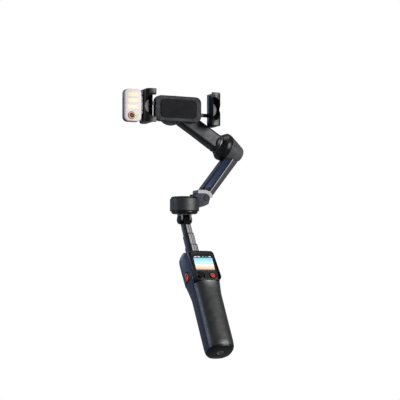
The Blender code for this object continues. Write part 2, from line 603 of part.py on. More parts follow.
def make_link(frame, look):
    """Link from the tilt motor up behind the clamp, ending in the roll motor."""
    hub_profile = [(0, 17.6 * MM), (10.9 * MM, 17.6 * MM), (11.3 * MM, 18.0 * MM), (11.3 * MM, 20.8 * MM),
                   (9.6 * MM, 22.6 * MM), (0, 22.6 * MM)]
    link = place("link_arm", turned(hub_profile, 40), look["graphite"], frame, ELBOW, (0, ELBOW_TURN, 0))
    roll = Vector((CLAMP.x, 0, CLAMP.z))
    hub = ELBOW + Matrix.Rotation(ELBOW_TURN, 3, "Y") @ Vector((0, 0, 19.6 * MM))
    run = Vector((hub.x - roll.x, 0, hub.z - roll.z))
    along = run.normalized()
    across = Vector((-along.z, 0, along.x))
    start, end = roll + along * 12.0 * MM, Vector((hub.x, 0, hub.z)) - along * 1.0 * MM
    rings = []
    for point, half, y_low, y_high in ((start, 9.6 * MM, -2.6 * MM, 13.0 * MM),
                                       (start.lerp(end, 0.5), 9.4 * MM, -2.6 * MM, 13.6 * MM),
                                       (end, 9.4 * MM, -3.4 * MM, 15.4 * MM)):
        outline = rounded_rect(2 * half, y_high - y_low, 3.2 * MM, 4, (0, (y_low + y_high) / 2))
        rings.append([point + across * u + Vector((0, v, 0)) for u, v in outline])
    combine(link, cutter("link_bar", loft(rings), frame), "UNION")
    room = turned([(0, -20 * MM), (17.3 * MM, -20 * MM), (17.3 * MM, 30 * MM), (0, 30 * MM)], 40, "Y")
    combine(link, cutter("roll_room", room, frame, roll))
    flange_room = turned([(0, 0), (30 * MM, 0), (30 * MM, 17.6 * MM), (0, 17.6 * MM)], 40)
    combine(link, cutter("flange_room", flange_room, frame, ELBOW, (0, ELBOW_TURN, 0)))

    cup = [(15.0 * MM, -4.4 * MM), (16.4 * MM, -4.4 * MM), (17.0 * MM, -3.8 * MM), (17.0 * MM, 11.0 * MM),
           (4.4 * MM, 11.0 * MM), (4.4 * MM, 9.0 * MM), (15.0 * MM, 9.0 * MM)]
    place("roll_housing", turned(cup, 40, "Y"), look["black"], frame, roll)
    cap = [(0, 11.3 * MM), (17.0 * MM, 11.3 * MM), (17.0 * MM, 12.4 * MM), (15.6 * MM, 13.8 * MM),
           (0, 13.8 * MM)]
    place("roll_cap", turned(cap, 40, "Y"), look["graphite"], frame, roll)
    place("roll_stator", turned(tube_profile(10.8 * MM, 4.7 * MM, 0.4 * MM, 8.4 * MM, 0.8 * MM), 24, "Y"),
          look["copper"], frame, roll)


# --- clamp, light and remote ---------------------------------------------------

def make_clamp(frame, look):
    """Clamp body with its rotor, pad and pinion, and two sliding jaws."""
    clamp = empty("clamp_frame", CLAMP, parent=frame)
    rotor = [(0, 14.9 * MM), (13.8 * MM, 14.9 * MM), (13.8 * MM, 16.4 * MM), (13.4 * MM, 27.6 * MM),
             (11.6 * MM, 27.6 * MM), (11.6 * MM, 16.8 * MM), (4.0 * MM, 16.8 * MM), (4.0 * MM, 30.6 * MM),
             (0, 30.6 * MM)]
    place("roll_rotor", turned(rotor, 32, "Y"), look["silver"], clamp)

    body = place("clamp_body", prism(rounded_rect(58 * MM, 30 * MM, 7 * MM, 5), 5.4 * MM, 14.6 * MM, "Y"),
                 look["black"], clamp)
    channel = block((90 * MM, 4.6 * MM, 21.0 * MM), (0, 10.4 * MM, 0))
    combine(body, cutter("jaw_channel", channel, clamp))
    pad = prism(rounded_rect(46 * MM, 22 * MM, 5 * MM, 4), 4.3 * MM, 5.1 * MM, "Y")
    place("clamp_pad", pad, look["rubber"], clamp)
    pinion_profile = [(0, 8.5 * MM), (3.3 * MM, 8.5 * MM), (3.3 * MM, 12.3 * MM), (0, 12.3 * MM)]
    place("sync_pinion", turned(pinion_profile, 16, "Y"), look["brass"], clamp)

    half = PHONE_WIDTH / 2
    for side, name, rack_z in ((-1, "left_jaw", 5.6 * MM), (1, "right_jaw", -5.6 * MM)):
        hook = [(1.1, 6.5), (1.1, -9.0), (-2.6, -9.4), (-2.9, -11.8), (0.8, -12.6), (6.0, -11.6),
                (9.2, -8.2), (10.7, -3.0), (11.0, 4.0), (10.5, 8.4), (8.4, 11.2), (6.0, 12.7), (1.1, 12.7)]
        points = [(side * (half + x * MM), y * MM) for x, y in hook]
        jaw = place(name, prism(points, -JAW_HEIGHT / 2, JAW_HEIGHT / 2), look["black"], clamp)
        scoop = turned([(0, -20 * MM), (17.4 * MM, -20 * MM), (8.6 * MM, -1.4 * MM), (0, -1.4 * MM)], 44, "Y")
        combine(jaw, cutter(f"{name}_scoop", scoop, clamp, (side * (half - 1.2 * MM), 0, 0.07 * MM)))
        if side > 0:
            waist = turned([(0, -30 * MM), (31 * MM, -30 * MM), (31 * MM, 30 * MM), (0, 30 * MM)], 50, "Y")
            combine(jaw, cutter("jaw_waist", waist, clamp, (half + 40.3 * MM, 0, 0.05 * MM)))
        outline = prism(rounded_rect(24 * MM, JAW_HEIGHT - 0.02 * MM, 3.4 * MM, 4), -20 * MM, 20 * MM, "Y")
        at = (side * (half - 0.98 * MM), 0, 0)
        combine(jaw, cutter(f"{name}_outline", outline, clamp, at), "INTERSECT")
        rack = block((35 * MM, 3.9 * MM, 4.0 * MM), (side * (half - 14.5 * MM), 10.4 * MM, rack_z))
        combine(jaw, cutter(f"{name}_rack", rack, clamp), "UNION")
        pad = prism(rounded_rect(12.5 * MM, 34 * MM, 1.0 * MM, 2), -0.4 * MM, 0.4 * MM)
        bmesh.ops.rotate(pad, matrix=Matrix.Rotation(pi / 2, 3, "Y"), verts=pad.verts)
        bmesh.ops.rotate(pad, matrix=Matrix.Rotation(pi / 2, 3, "X"), verts=pad.verts)
        place(f"{name}_pad", pad, look["rubber"], clamp, (side * (half + 0.4 * MM), -1.0 * MM, 0))
    return clamp


def make_light(clamp, look):
    """Magnetic light and tracker on the left jaw."""
    edge = -(PHONE_WIDTH / 2 + 11.0 * MM)
    plate = block((0.8 * MM, 6.0 * MM, 20 * MM), (edge - 0.7 * MM, 0, 0))
    mount = place("light_mount", plate, look["steel"], clamp)
    width, height = 21.0 * MM, 38.2 * MM
    center_x = edge - 1.4 * MM - width / 2
    center_z = -0.2 * MM
    shape = rounded_rect(width, height, 5.5 * MM, 5)
    housing = place("light_housing", prism(shape, -0.8 * MM, 4.6 * MM, "Y"), look["navy"], clamp,
                    (center_x, 0, center_z))
    inner = prism(rounded_rect(width - 2.4 * MM, height - 2.4 * MM, 4.4 * MM, 5), -9 * MM, 3.2 * MM, "Y")
    combine(housing, cutter("light_hollow", inner, clamp, (center_x, 0, center_z)))
    panel = prism(rounded_rect(width - 0.4 * MM, height - 0.4 * MM, 5.3 * MM, 5), -4.4 * MM, -1.1 * MM, "Y")
    diffuser = place("light_diffuser", panel, look["panel"], clamp, (center_x, 0, center_z))
    bevel(diffuser, 1.1 * MM, 3, 60)
    lens_at = (center_x - 2.2 * MM, 0, center_z - 12.3 * MM)
    hole = turned([(0, -9 * MM), (4.7 * MM, -9 * MM), (4.7 * MM, 3 * MM), (0, 3 * MM)], 24, "Y")
    combine(diffuser, cutter("lens_hole", hole, clamp, lens_at))
    ring = turned([(2.7 * MM, -5.2 * MM), (4.1 * MM, -5.2 * MM), (4.4 * MM, -4.9 * MM), (4.4 * MM, 2.6 * MM),
                   (2.7 * MM, 2.6 * MM)], 24, "Y")
    place("tracker_ring", ring, look["orange"], clamp, lens_at)
    lens = turned([(0, -4.7 * MM), (1.2 * MM, -4.6 * MM), (2.4 * MM, -4.1 * MM), (2.4 * MM, 2.6 * MM),
                   (0, 2.6 * MM)], 24, "Y")
    place("tracker_lens", lens, look["glass"], clamp, lens_at)


def make_remote(frame, look):
    """Remote in the dock: two case halves, screen, joystick and buttons."""
    remote = empty("remote_frame", REMOTE, parent=frame)
    width, height = 29.4 * MM, 38.8 * MM
    back = prism(rounded_rect(width, height, 6 * MM, 5), -7.6 * MM, -2.5 * MM, "Y")
    back_case = place("remote_back_case", back, look["black"], remote)
    bevel(back_case, 0.8 * MM, 2, 60)
    front = prism(rounded_rect(width, height, 6 * MM, 5), -14.4 * MM, -7.9 * MM, "Y")
    front_case = place("remote_front_case", front, look["graphite"], remote)
    bevel(front_case, 1.2 * MM, 2, 60)
    side_room = prism(rounded_rect(3.2 * MM, 9.4 * MM, 1.5 * MM, 3), 11.4 * MM, 20 * MM, "X")
    combine(front_case, cutter("side_button_room", side_room, remote, SIDE_BUTTON))
    side_knob = prism(rounded_rect(2.6 * MM, 8.8 * MM, 1.2 * MM, 3), 12.2 * MM, 14.6 * MM, "X")
    place("remote_side_button", side_knob, look["graphite"], remote, SIDE_BUTTON)
    screen_z = 3.7 * MM
    recess = prism(rounded_rect(25.6 * MM, 22.2 * MM, 1.8 * MM, 3), -20 * MM, -13.2 * MM, "Y")
    combine(front_case, cutter("screen_recess", recess, remote, (0, 0, screen_z)))
    screen = prism(rounded_rect(25.0 * MM, 21.6 * MM, 1.5 * MM, 3), -14.2 * MM, -13.5 * MM, "Y")
    place("remote_display", screen, look["glass"], remote, (0, 0, screen_z))
    control_z = -13.2 * MM
    for x, radius, name in ((STICK_X, 5.2 * MM, "stick_well"), (RECORD_X, 4.3 * MM, "record_well")):
        well = turned([(0, -20 * MM), (radius, -20 * MM), (radius, -8.9 * MM), (0, -8.9 * MM)], 24, "Y")
        combine(front_case, cutter(name, well, remote, (x, 0, control_z)))
    ring = turned(tube_profile(4.2 * MM, 2.5 * MM, -12.4 * MM, -10.2 * MM), 24, "Y")
    place("joystick_ring", ring, look["steel"], remote, (STICK_X, 0, control_z))
    stick = turned([(0, -16.2 * MM), (2.2 * MM, -16.2 * MM), (2.8 * MM, -16.6 * MM), (3.4 * MM, -16.2 * MM),
                    (3.6 * MM, -15.4 * MM), (3.4 * MM, -14.5 * MM),
                    (1.4 * MM, -13.4 * MM), (1.4 * MM, -10.0 * MM), (0, -10.0 * MM)], 24, "Y")
    place("joystick", stick, look["rubber"], remote, (STICK_X, 0, control_z))
    button = turned([(0, -15.2 * MM), (3.3 * MM, -15.2 * MM), (3.8 * MM, -14.7 * MM), (3.8 * MM, -10.4 * MM),
                     (0, -10.4 * MM)], 24, "Y")
    place("record_button", button, look["graphite"], remote, (RECORD_X, 0, control_z))


def main():
    clear_scene()
    look = finishes()
    handle_frame = empty("handle_frame", rotation=(-NECK_BEND, 0, 0))
    pin = Matrix.Rotation(-NECK_BEND, 3, "X") @ Vector((0, ROD_Y, PIN_HEIGHT))
    head_frame = empty("head_frame", pin + Vector((0, 0, NECK_DROP)))
    make_grip(handle_frame, look)
    make_head(handle_frame, look)
    make_controls(handle_frame, look)
    make_insides(handle_frame, look)
    make_rod(handle_frame, look)
    make_neck(head_frame, look)
    make_pan_head(head_frame, look)
    make_arm(head_frame, look)
    make_elbow(head_frame, look)
    make_link(head_frame, look)
    clamp_frame = make_clamp(head_frame, look)
    make_light(clamp_frame, look)
    make_remote(handle_frame, look)


main()
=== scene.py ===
import json
from math import cos, pi, radians, sin

import bmesh
import bpy
from mathutils import Matrix, Vector


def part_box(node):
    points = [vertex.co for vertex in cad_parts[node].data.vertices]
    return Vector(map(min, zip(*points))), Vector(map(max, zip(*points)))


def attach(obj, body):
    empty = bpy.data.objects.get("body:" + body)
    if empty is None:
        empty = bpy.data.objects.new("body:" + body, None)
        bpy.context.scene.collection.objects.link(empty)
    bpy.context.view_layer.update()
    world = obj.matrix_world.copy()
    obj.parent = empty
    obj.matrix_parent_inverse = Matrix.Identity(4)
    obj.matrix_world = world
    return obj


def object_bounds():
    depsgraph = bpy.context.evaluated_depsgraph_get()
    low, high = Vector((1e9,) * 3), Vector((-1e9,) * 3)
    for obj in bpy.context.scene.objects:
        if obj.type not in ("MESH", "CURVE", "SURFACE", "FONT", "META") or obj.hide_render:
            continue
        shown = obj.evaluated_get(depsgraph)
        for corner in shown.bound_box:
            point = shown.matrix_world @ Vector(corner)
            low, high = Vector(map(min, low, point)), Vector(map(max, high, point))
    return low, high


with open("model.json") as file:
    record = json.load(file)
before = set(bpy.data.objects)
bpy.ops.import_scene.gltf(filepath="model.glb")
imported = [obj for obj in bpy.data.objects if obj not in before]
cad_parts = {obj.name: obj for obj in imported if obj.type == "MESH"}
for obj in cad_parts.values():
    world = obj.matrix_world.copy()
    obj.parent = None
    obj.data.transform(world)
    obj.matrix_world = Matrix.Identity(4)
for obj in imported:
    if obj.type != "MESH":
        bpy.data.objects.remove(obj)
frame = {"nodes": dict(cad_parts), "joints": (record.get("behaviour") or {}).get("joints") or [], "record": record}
cad_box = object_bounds()

MM = 0.001
NODES = frame["nodes"]
JOINTS = {joint["name"]: joint for joint in frame["joints"]}
PAN_CENTER = Vector(JOINTS["pan_turn"]["pos_m"])

# the handle's own axes: X across, Y to the back, Z up the grip
HANDLE_BACK = Vector(JOINTS["zoom_rocker_tilt"]["axis"])
HANDLE_UP = Vector(JOINTS["rod_lower_slide"]["axis"])
HANDLE = Matrix(((1, HANDLE_BACK.x, HANDLE_UP.x, 0),
                 (0, HANDLE_BACK.y, HANDLE_UP.y, 0),
                 (0, HANDLE_BACK.z, HANDLE_UP.z, 0),
                 (0, 0, 0, 1)))
HANDLE_LEAN = radians(31.0)

# camera, aimed beside and above the pan motor's centre; distances in metres, lens in millimetres
CAMERA_AZIMUTH = radians(-24.0)
CAMERA_ELEVATION = radians(-4.5)
CAMERA_DISTANCE = 1.73
CAMERA_LENS = 131.4
SENSOR_WIDTH = 36.0
AIM_RIGHT = 18.4 * MM
AIM_UP = 6.5 * MM

# studio
FLOOR_DROP = 0.35
FLOOR_RADIUS = 3.4
FLOOR_GREY = 0.60
FLOOR_GLOW = 0.6
WORLD_TINT = (0.93, 0.96, 1.0, 1)
WORLD_STRENGTH = 0.22

# arm: its lean, the ridge's slope between its two covers, its black foot and its painted highlight line
ARM_LEAN = radians(39.1)
ARM_RIDGE_SLOPE = radians(-2.7)
ARM_FOOT_BAND = 13.0 * MM
ARM_HIGHLIGHT_AT = 0.1 * MM
ARM_HIGHLIGHT_WIDTH = 1.3 * MM
RIB_PITCH = 1.1 * MM
WAVES_PER_UNIT = 3.18

# edges: how near corners join, how flat an edge is smoothed, and the rounding in millimetres
JOIN_DISTANCE = 0.002 * MM
SMOOTH_ANGLE = radians(32.0)
EDGE_WIDTH = 0.3
SMALL_EDGE_WIDTH = 0.12
EDGE_WIDTHS = {"left_jaw": 0.8, "right_jaw": 0.8}

# light panel, in millimetres: bars' distances below its top, half sizes, soft edge
BAR_DROPS = (6.4, 13.6, 20.8)
BAR_SHIFT = 0.4
BAR_HALF_WIDTH = 6.3
BAR_HALF_HEIGHT = 2.1
BAR_SOFTNESS = 0.9

# remote and dock, in millimetres along the handle's axes
PALE, GREEN, BLUE = (0.75, 0.75, 0.78), (0.12, 0.70, 0.20), (0.12, 0.35, 0.60)
STATUS_MARKS = ((-8.8, 3.0, PALE), (-4.6, 3.2, PALE), (0.6, 1.8, GREEN), (4.4, 2.0, BLUE),
                (9.0, 3.0, PALE))
SCREEN_LIFT = 0.02 * MM
WINDOW_LIFT = 0.01 * MM
STICK_RINGS = (0.86, 0.66, 0.46)
CHARGE_LIGHTS = (-5.6, 0.0, 5.6)

# rod: spans of the rails across each stage, in millimetres; the rails' pale colour is a painted reflection
RAIL_SPANS = ((-2.3, 0.3), (1.0, 2.6), (3.2, 4.2))

# gasket between head shell and grip: exponent of its outline, its sweep in degrees from the
# right side, play above and below it, and its outer and inner faces inside the grip's outline
SEAM_POWER = 2 / 3.6
SEAM_START, SEAM_END = 1, 164
SEAM_STEPS = 48
SEAM_PLAY = 0.02 * MM
SEAM_OUTER = 0.5 * MM
SEAM_INNER = 1.4 * MM

# tripod thread: 1/4 inch with 20 turns to the inch
THREAD_RADIUS = 3.2 * MM
THREAD_DEPTH = 0.42 * MM
THREAD_PITCH = 1.27 * MM
THREAD_TURNS = 5.5

# elbow's two dark dots, painted shade for its notches: the way they face, across the axis and to
# the back, and how far each is along the axis and out from it
NOTCH_ACROSS, NOTCH_BACK = 0.23, -0.97
NOTCH_SHADES = ((8.2 * MM, 16.95 * MM), (1.0 * MM, 15.05 * MM))

JAW_RIBS = 9


# --- materials -----------------------------------------------------------------

def blank(name):
    """A new material with only its Principled shader; returns it, its tree and the shader."""
    made = bpy.data.materials.new(name)
    made.use_nodes = True
    return made, made.node_tree, made.node_tree.nodes["Principled BSDF"]


def coordinates(tree, stretch=(1, 1, 1), turn=(0, 0, 0)):
    """Object coordinates in metres, turned and stretched."""
    source = tree.nodes.new("ShaderNodeTexCoord")
    mapping = tree.nodes.new("ShaderNodeMapping")
    mapping.inputs["Scale"].default_value = stretch
    mapping.inputs["Rotation"].default_value = turn
    tree.links.new(source.outputs["Object"], mapping.inputs["Vector"])
    return mapping.outputs["Vector"]


def noise(tree, where, scale, detail=3.0):
    """Noise between 0 and 1."""
    node = tree.nodes.new("ShaderNodeTexNoise")
    node.inputs["Scale"].default_value = scale
    node.inputs["Detail"].default_value = detail
    tree.links.new(where, node.inputs["Vector"])
    return node.outputs["Fac"]


def ranged(tree, value, low, high):
    """A 0.35 to 0.65 signal spread over another range."""
    node = tree.nodes.new("ShaderNodeMapRange")
    node.inputs["From Min"].default_value = 0.35
    node.inputs["From Max"].default_value = 0.65
    node.inputs["To Min"].default_value = low
    node.inputs["To Max"].default_value = high
    tree.links.new(value, node.inputs["Value"])
    return node.outputs["Result"]


def mixed(tree, factor, first, second):
    """A colour between two colours or sockets."""
    node = tree.nodes.new("ShaderNodeMix")
    node.data_type = "RGBA"
    tree.links.new(factor, node.inputs["Factor"])
    for key, value in (("A", first), ("B", second)):
        socket = [s for s in node.inputs if s.name == key and s.type == "RGBA"][0]
        if isinstance(value, tuple):
            socket.default_value = (*value, 1.0)
        else:
            tree.links.new(value, socket)
    return [s for s in node.outputs if s.type == "RGBA"][0]


def above(tree, value, threshold, softness):
    """1 where a value is above a threshold, 0 below, with a soft step."""
    node = tree.nodes.new("ShaderNodeMapRange")
    node.interpolation_type = "SMOOTHSTEP"
    node.inputs["From Min"].default_value = threshold - softness
    node.inputs["From Max"].default_value = threshold + softness
    tree.links.new(value, node.inputs["Value"])
    return node.outputs["Result"]


def math(tree, operation, first, second=None):
    """One math node on sockets or numbers."""
    node = tree.nodes.new("ShaderNodeMath")
    node.operation = operation
    for index, value in enumerate((first, second)):
        if value is None:
            continue
        if isinstance(value, (int, float)):
            node.inputs[index].default_value = value
        else:
            tree.links.new(value, node.inputs[index])
    return node.outputs[0]


def bumped(tree, shader, height, distance, strength):
    """Bump on the shader from a height signal."""
    node = tree.nodes.new("ShaderNodeBump")
    node.inputs["Distance"].default_value = distance
    node.inputs["Strength"].default_value = strength
    tree.links.new(height, node.inputs["Height"])
    tree.links.new(node.outputs["Normal"], shader.inputs["Normal"])


def moulded(name, color, roughness=0.45, spread=0.14, metallic=0.0, specular=0.4, grain=4200.0,
            strength=0.25, coat=0.0):
    """Moulded or painted surface: slight cloudiness, uneven gloss and a fine grain."""
    made, tree, shader = blank(name)
    where = coordinates(tree)
    cloud = ranged(tree, noise(tree, where, 45.0), 0.0, 1.0)
    dark = tuple(c * (1 - spread) for c in color)
    light = tuple(min(1.0, c * (1 + spread)) for c in color)
    tree.links.new(mixed(tree, cloud, dark, light), shader.inputs["Base Color"])
    gloss = ranged(tree, noise(tree, where, 160.0), roughness - 0.05, roughness + 0.05)
    tree.links.new(gloss, shader.inputs["Roughness"])
    shader.inputs["Metallic"].default_value = metallic
    shader.inputs["Specular IOR Level"].default_value = specular
    shader.inputs["Coat Weight"].default_value = coat
    shader.inputs["Coat Roughness"].default_value = 0.18
    bumped(tree, shader, noise(tree, where, grain, 2.0), 0.03 * MM, strength)
    return made


def flaked(name, color, fleck, roughness=0.36, foot=None):
    """Metallic paint: fine bright flecks under a satin coat, black below a height if one is given."""
    made, tree, shader = blank(name)
    where = coordinates(tree)
    cell = tree.nodes.new("ShaderNodeTexVoronoi")
    cell.inputs["Scale"].default_value = 7000.0
    tree.links.new(where, cell.inputs["Vector"])
    spark = tree.nodes.new("ShaderNodeMapRange")
    spark.inputs["From Min"].default_value = 0.22
    spark.inputs["From Max"].default_value = 0.02
    tree.links.new(cell.outputs["Distance"], spark.inputs["Value"])
    cloud = ranged(tree, noise(tree, where, 40.0), 0.0, 1.0)
    base = mixed(tree, cloud, tuple(c * 0.88 for c in color), tuple(c * 1.12 for c in color))
    shade = mixed(tree, spark.outputs["Result"], base, fleck)
    if foot is not None:
        split = tree.nodes.new("ShaderNodeSeparateXYZ")
        tree.links.new(where, split.inputs["Vector"])
        over_foot = above(tree, split.outputs["Z"], foot, 0.2 * MM)
        shade = mixed(tree, over_foot, (0.003, 0.003, 0.004), shade)
    tree.links.new(shade, shader.inputs["Base Color"])
    gloss = ranged(tree, noise(tree, where, 150.0), roughness - 0.04, roughness + 0.05)
    tree.links.new(gloss, shader.inputs["Roughness"])
    shader.inputs["Metallic"].default_value = 0.45
    shader.inputs["Coat Weight"].default_value = 0.25
    shader.inputs["Coat Roughness"].default_value = 0.25
    bumped(tree, shader, noise(tree, where, 3800.0, 2.0), 0.02 * MM, 0.2)
    return made


def brushed(name, color, stretch, roughness=0.3, turn=(0, 0, 0)):
    """Bare metal with fine lines along one direction."""
    made, tree, shader = blank(name)
    lines = noise(tree, coordinates(tree, stretch, turn), 2600.0, 4.0)
    shade = mixed(tree, lines, tuple(c * 0.82 for c in color), tuple(min(1.0, c * 1.12) for c in color))
    tree.links.new(shade, shader.inputs["Base Color"])
    tree.links.new(ranged(tree, lines, roughness - 0.07, roughness + 0.07), shader.inputs["Roughness"])
    shader.inputs["Metallic"].default_value = 1.0
    bumped(tree, shader, lines, 0.02 * MM, 0.35)
    return made


def wound(name, axis):
    """Enamelled copper windings, as fine bands along an axis."""
    made, tree, shader = blank(name)
    wave = tree.nodes.new("ShaderNodeTexWave")
    wave.bands_direction = axis
    wave.inputs["Scale"].default_value = 620.0
    wave.inputs["Distortion"].default_value = 0.6
    tree.links.new(coordinates(tree), wave.inputs["Vector"])
    shade = mixed(tree, wave.outputs["Fac"], (0.18, 0.05, 0.02), (0.72, 0.32, 0.13))
    tree.links.new(shade, shader.inputs["Base Color"])
    shader.inputs["Metallic"].default_value = 0.9
    shader.inputs["Roughness"].default_value = 0.32
    bumped(tree, shader, wave.outputs["Fac"], 0.15 * MM, 0.6)
    return made


def painted_rail_reflection(name):
    """Pale satin metal with lines along the handle; its pale colour is a painted reflection on the dark rod."""
    made, tree, shader = blank(name)
    lines = noise(tree, coordinates(tree, (8, 8, 1), (HANDLE_LEAN, 0, 0)), 1800.0, 3.0)
    metal = mixed(tree, lines, (0.42, 0.42, 0.43), (0.66, 0.66, 0.68))
    tree.links.new(metal, shader.inputs["Base Color"])
    tree.links.new(ranged(tree, lines, 0.26, 0.36), shader.inputs["Roughness"])
    shader.inputs["Metallic"].default_value = 0.45
    return made


def circuit(name):
    """Green solder mask with paler copper tracks under it."""
    made, tree, shader = blank(name)
    tracks = tree.nodes.new("ShaderNodeTexBrick")
    tracks.inputs["Scale"].default_value = 260.0
    tracks.inputs["Color1"].default_value = (0.01, 0.10, 0.04, 1)
    tracks.inputs["Color2"].default_value = (0.015, 0.14, 0.055, 1)
    tracks.inputs["Mortar"].default_value = (0.05, 0.26, 0.10, 1)
    tree.links.new(coordinates(tree), tracks.inputs["Vector"])
    tree.links.new(tracks.outputs["Color"], shader.inputs["Base Color"])
    shader.inputs["Roughness"].default_value = 0.35
    return made


def arm_side(tree):
    """Distance across the arm from its ridge, towards its outer edge."""
    lean = ARM_LEAN + ARM_RIDGE_SLOPE
    across = Vector((cos(lean), 0, -sin(lean)))
    node = tree.nodes.new("ShaderNodeVectorMath")
    node.operation = "DOT_PRODUCT"
    node.inputs[1].default_value = across
    tree.links.new(coordinates(tree), node.inputs[0])
    origin = Vector(JOINTS["arm_fold"]["pos_m"]).dot(across)
    return math(tree, "SUBTRACT", node.outputs["Value"], origin)


def ribbed(name, color, bright, dark, turn, roughness=0.42):
    """Grey arm cover: fine cross ribs, a painted highlight as a bright line along its front corner, and painted
    shade darkening its inner side.
    """
    made, tree, shader = blank(name)
    where = coordinates(tree, turn=turn)
    wave = tree.nodes.new("ShaderNodeTexWave")
    wave.bands_direction = "Z"
    wave.inputs["Scale"].default_value = 1 / RIB_PITCH / WAVES_PER_UNIT
    wave.inputs["Distortion"].default_value = 1.2
    tree.links.new(where, wave.inputs["Vector"])
    speck = ranged(tree, noise(tree, where, 1500.0, 4.0), 0.0, 1.0)
    base = mixed(tree, speck, tuple(c * 0.7 for c in color), tuple(c * 1.3 for c in color))
    shade = mixed(tree, wave.outputs["Fac"], tuple(c * 0.75 for c in color), base)
    # painted highlight: a bright band just past the ridge; painted shade: near black on the ridge's inner side
    edge = above(tree, arm_side(tree), ARM_HIGHLIGHT_AT, 0.35 * MM)
    far = above(tree, arm_side(tree), ARM_HIGHLIGHT_AT + ARM_HIGHLIGHT_WIDTH, 0.5 * MM)
    highlight_mask = math(tree, "MULTIPLY", edge, math(tree, "SUBTRACT", 1.0, far))
    inner = math(tree, "SUBTRACT", 1.0, edge)
    shade = mixed(tree, highlight_mask, shade, bright)
    shade = mixed(tree, inner, shade, dark)
    tree.links.new(shade, shader.inputs["Base Color"])
    gloss = ranged(tree, noise(tree, where, 900.0), roughness - 0.08, roughness + 0.08)
    tree.links.new(gloss, shader.inputs["Roughness"])
    shader.inputs["Metallic"].default_value = 0.5
    bumped(tree, shader, wave.outputs["Fac"], 0.08 * MM, 0.5)
    return made


def glass(name, color=(0.01, 0.01, 0.012), roughness=0.08, coat=0.6):
    """Dark polished glass with faint smears in its gloss."""
    made, tree, shader = blank(name)
    where = coordinates(tree)
    smear = ranged(tree, noise(tree, where, 220.0, 2.0), roughness, roughness + 0.07)
    tree.links.new(smear, shader.inputs["Roughness"])
    tint = mixed(tree, noise(tree, where, 90.0), color, tuple(c * 1.5 for c in color))
    tree.links.new(tint, shader.inputs["Base Color"])
    shader.inputs["Coat Weight"].default_value = coat
    return made


def glowing(name, color, strength, spread=0.15):
    """A small lit surface, slightly uneven."""
    made, tree, shader = blank(name)
    where = coordinates(tree)
    cloud = ranged(tree, noise(tree, where, 700.0), 0.0, 1.0)
    shade = mixed(tree, cloud, tuple(c * (1 - spread) for c in color), color)
    tree.links.new(shade, shader.inputs["Base Color"])
    tree.links.new(shade, shader.inputs["Emission Color"])
    shader.inputs["Emission Strength"].default_value = strength
    shader.inputs["Roughness"].default_value = 0.35
    return made


def lit_panel(name):
    """Frosted light panel: pinkish white, with three soft warm bars behind it."""
    low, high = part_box("light_diffuser")
    middle_x = (low.x + high.x) / 2 - BAR_SHIFT * MM
    softness = BAR_SOFTNESS * MM
    made, tree, shader = blank(name)
    where = coordinates(tree)
    split = tree.nodes.new("ShaderNodeSeparateXYZ")
    tree.links.new(where, split.inputs["Vector"])
    across = math(tree, "ABSOLUTE", math(tree, "SUBTRACT", split.outputs["X"], middle_x))
    inside = math(tree, "SUBTRACT", 1.0, above(tree, across, BAR_HALF_WIDTH * MM, softness))
    bars = None
    for drop in BAR_DROPS:
        up = math(tree, "ABSOLUTE", math(tree, "SUBTRACT", split.outputs["Z"], high.z - drop * MM))
        bar = math(tree, "SUBTRACT", 1.0, above(tree, up, BAR_HALF_HEIGHT * MM, softness))
        bars = bar if bars is None else math(tree, "MAXIMUM", bars, bar)
    lit = math(tree, "MULTIPLY", inside, bars)
    shade = mixed(tree, lit, (0.50, 0.435, 0.43), (0.54, 0.49, 0.34))
    grain = noise(tree, where, 2600.0, 2.0)
    tree.links.new(shade, shader.inputs["Base Color"])
    tree.links.new(shade, shader.inputs["Emission Color"])
    strength = math(tree, "ADD", math(tree, "MULTIPLY", lit, 0.22), 0.42)
    tree.links.new(strength, shader.inputs["Emission Strength"])
    shader.inputs["Roughness"].default_value = 0.42
    shader.inputs["Coat Weight"].default_value = 0.15
    bumped(tree, shader, grain, 0.02 * MM, 0.25)
    return made


def landscape(name, low, high):
    """A generic picture for the screen: sky, haze, sea and sand, along the handle."""
    made, tree, shader = blank(name)
    where = coordinates(tree)
    along = tree.nodes.new("ShaderNodeVectorMath")
    along.operation = "DOT_PRODUCT"
    along.inputs[1].default_value = HANDLE_UP
    tree.links.new(where, along.inputs[0])
    share = tree.nodes.new("ShaderNodeMapRange")
    share.inputs["From Min"].default_value = low
    share.inputs["From Max"].default_value = high
    tree.links.new(along.outputs["Value"], share.inputs["Value"])
    ramp = tree.nodes.new("ShaderNodeValToRGB")
    stops = ((0.0, (0.50, 0.35, 0.24)), (0.42, (0.86, 0.70, 0.56)), (0.50, (0.88, 0.78, 0.68)),
             (0.52, (0.20, 0.42, 0.60)), (0.58, (0.45, 0.66, 0.80)), (1.0, (0.22, 0.46, 0.82)))
    for index, (place, color) in enumerate(stops):
        stop = ramp.color_ramp.elements[index] if index < 2 else ramp.color_ramp.elements.new(place)
        stop.position = place
        stop.color = (*color, 1.0)
    wobble = math(tree, "MULTIPLY", math(tree, "SUBTRACT", noise(tree, where, 180.0), 0.5), 0.10)
    tree.links.new(math(tree, "ADD", share.outputs["Result"], wobble), ramp.inputs["Fac"])
    tree.links.new(ramp.outputs["Color"], shader.inputs["Base Color"])
    tree.links.new(ramp.outputs["Color"], shader.inputs["Emission Color"])
    shader.inputs["Emission Strength"].default_value = 0.55
    shader.inputs["Roughness"].default_value = 0.12
    return made


# --- shapes --------------------------------------------------------------------

